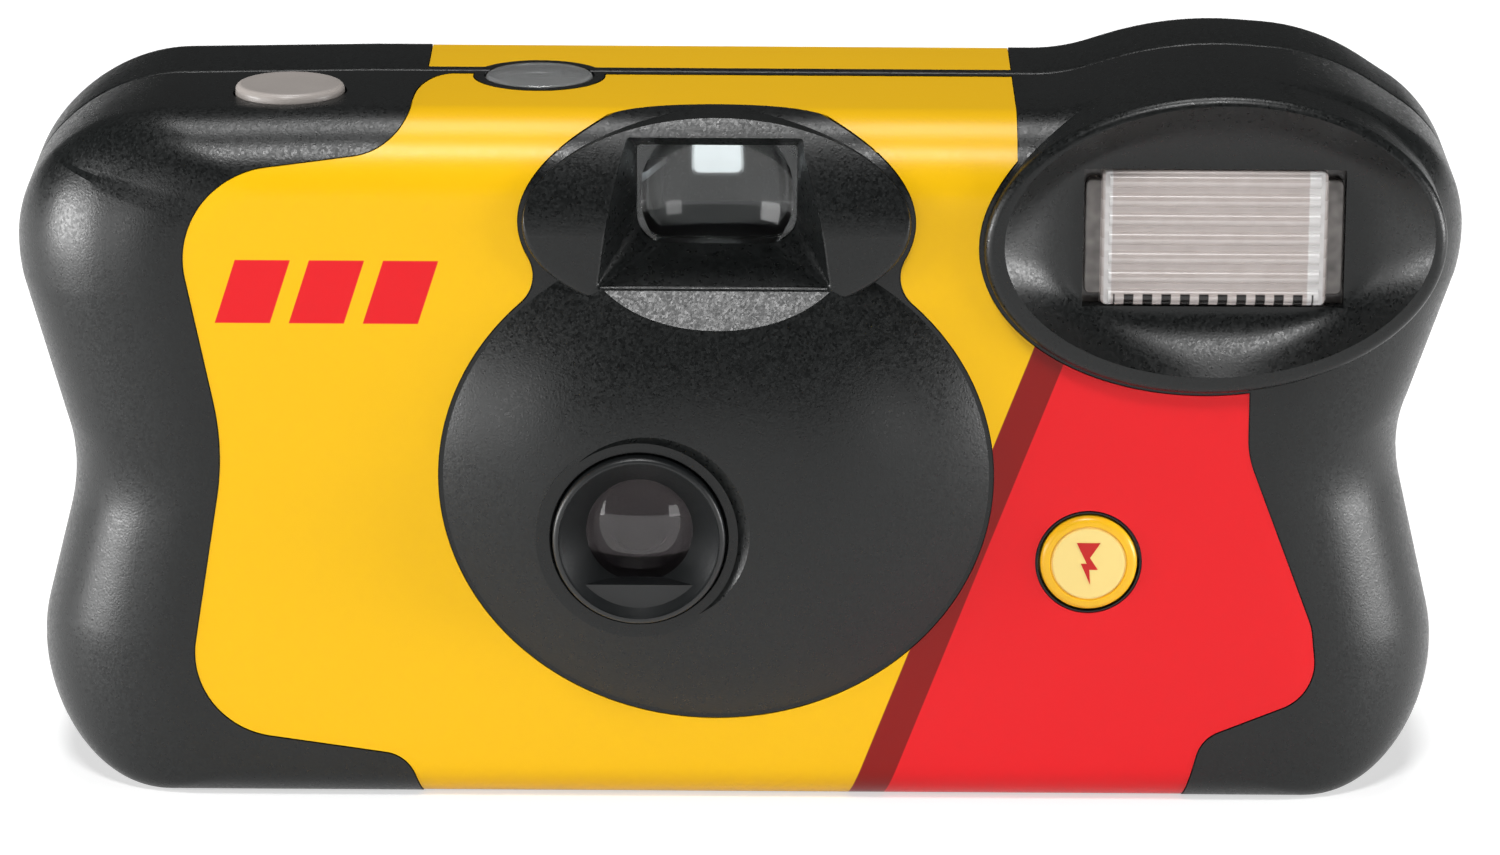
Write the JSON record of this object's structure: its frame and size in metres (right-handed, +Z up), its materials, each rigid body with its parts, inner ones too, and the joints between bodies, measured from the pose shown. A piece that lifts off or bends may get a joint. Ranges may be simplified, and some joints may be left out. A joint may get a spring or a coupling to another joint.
{
  "type": "single-use film camera",
  "caption": "Single-use 35 mm camera with rounded black covers, a wrap-round label, an oval lens dome, viewfinder, built-in flash, winding wheel and buttons.",
  "frame": {"origin": "on the base plane, under the centre of the bounding box", "axes": "+X to the right seen from the front, the lens faces -Y, +Z up"},
  "size_m": [0.117, 0.036, 0.0592],
  "materials": {
    "body_plastic": "matte",
    "frame_plastic": "matte",
    "label_print": "satin",
    "button_grey": "satin",
    "button_yellow": "gloss",
    "light_plastic": "satin",
    "clear_plastic": "gloss",
    "lens_plastic": "gloss",
    "flash_glass": "gloss",
    "bright_metal": "gloss",
    "spring_steel": "satin",
    "contact_brass": "satin",
    "cartridge_paint": "gloss",
    "cartridge_cap": "satin",
    "film_base": "gloss",
    "board_laminate": "matte",
    "component_dark": "satin",
    "component_tan": "satin",
    "cell_jacket": "satin",
    "lamp_glass": "gloss"
  },
  "bodies": {
    "root": {"front_cover": "body_plastic", "rear_cover": "body_plastic", "front_label": "label_print", "rear_label": "label_print", "main_frame": "frame_plastic", "cartridge_shell": "cartridge_paint", "cartridge_end_caps": "cartridge_cap", "film_strip": "film_base", "keeper_plate": "spring_steel", "striker_spring": "spring_steel", "metering_spring": "spring_steel", "shutter_plate": "frame_plastic", "taking_lens": "lens_plastic", "lens_retainer": "body_plastic", "sync_contact": "contact_brass", "finder_lens": "clear_plastic", "finder_eyepiece": "clear_plastic", "counter_window": "clear_plastic", "charge_switch_leaf": "contact_brass", "charge_switch_contact": "contact_brass", "flash_lens": "clear_plastic", "flash_reflector": "bright_metal", "flash_tube": "flash_glass", "flash_holder": "light_plastic", "circuit_board": "board_laminate", "flash_capacitor": "component_dark", "charging_transformer": "component_tan", "trigger_coil": "component_tan", "power_transistor": "component_dark", "trigger_capacitor": "component_tan", "charge_resistor": "component_tan", "ready_lamp": "lamp_glass", "ready_light_pipe": "clear_plastic", "battery": "cell_jacket", "battery_contact_negative": "spring_steel", "battery_contact_positive": "spring_steel"},
    "winder": {"winding_wheel": "body_plastic", "cartridge_spool": "frame_plastic"},
    "supply": {"supply_spool": "frame_plastic", "film_roll": "film_base"},
    "sprocket": {"sprocket_wheel": "light_plastic", "metering_cam": "light_plastic", "counter_driver": "light_plastic"},
    "counter": {"counter_wheel": "light_plastic"},
    "shutter_release": {"shutter_button": "button_grey"},
    "latch": {"metering_lever": "light_plastic"},
    "striker": {"striker_lever": "light_plastic"},
    "blade": {"shutter_blade": "frame_plastic"},
    "flash_switch": {"flash_button": "button_yellow"}
  },
  "joints": [
    {"name": "winding_turn", "type": "hinge", "parent": "root", "child": "winder", "pos_m": [-0.038, 0.003, 0.0488], "axis": [0, 0, 1], "continuous": true},
    {"name": "supply_turn", "type": "hinge", "parent": "root", "child": "supply", "pos_m": [0.0225, 0.0056, 0.0235], "axis": [0, 0, 1], "continuous": true},
    {"name": "sprocket_turn", "type": "hinge", "parent": "root", "child": "sprocket", "pos_m": [-0.0185, 0.00815, 0.044], "axis": [0, 0, 1], "continuous": true},
    {"name": "counter_turn", "type": "hinge", "parent": "root", "child": "counter", "pos_m": [-0.017, -0.0012, 0.0514], "axis": [0, 0, 1], "continuous": true},
    {"name": "shutter_press", "type": "slide", "parent": "root", "child": "shutter_release", "axis": [0, 0, -1], "range_m": [0, 0.0012], "stiffness_N_per_m": 400},
    {"name": "latch_swing", "type": "hinge", "parent": "root", "child": "latch", "pos_m": [-0.0215, -0.0015, 0.044], "axis": [0, 0, 1], "range_deg": [0, 8]},
    {"name": "striker_swing", "type": "hinge", "parent": "root", "child": "striker", "pos_m": [-0.0135, 0.0025, 0.0463], "axis": [0, 0, -1], "range_deg": [0, 18], "stiffness_Nm_per_rad": 0.003},
    {"name": "blade_swing", "type": "hinge", "parent": "root", "child": "blade", "pos_m": [-0.012, -0.0106, 0.033], "axis": [0, -1, 0], "range_deg": [0, 22]},
    {"name": "flash_press", "type": "slide", "parent": "root", "child": "flash_switch", "axis": [0, 1, 0], "range_m": [0, 0.0008], "stiffness_N_per_m": 400}
  ],
  "couplings": [
    {"joint": "supply_turn", "follows": "winding_turn", "ratio": 0.9302},
    {"joint": "sprocket_turn", "follows": "winding_turn", "ratio": 1.3228},
    {"joint": "counter_turn", "follows": "winding_turn", "ratio": -0.03307},
    {"joint": "latch_swing", "follows": "shutter_press", "rad_per_m": 116},
    {"joint": "blade_swing", "follows": "striker_swing", "ratio": 1.22}
  ]
}
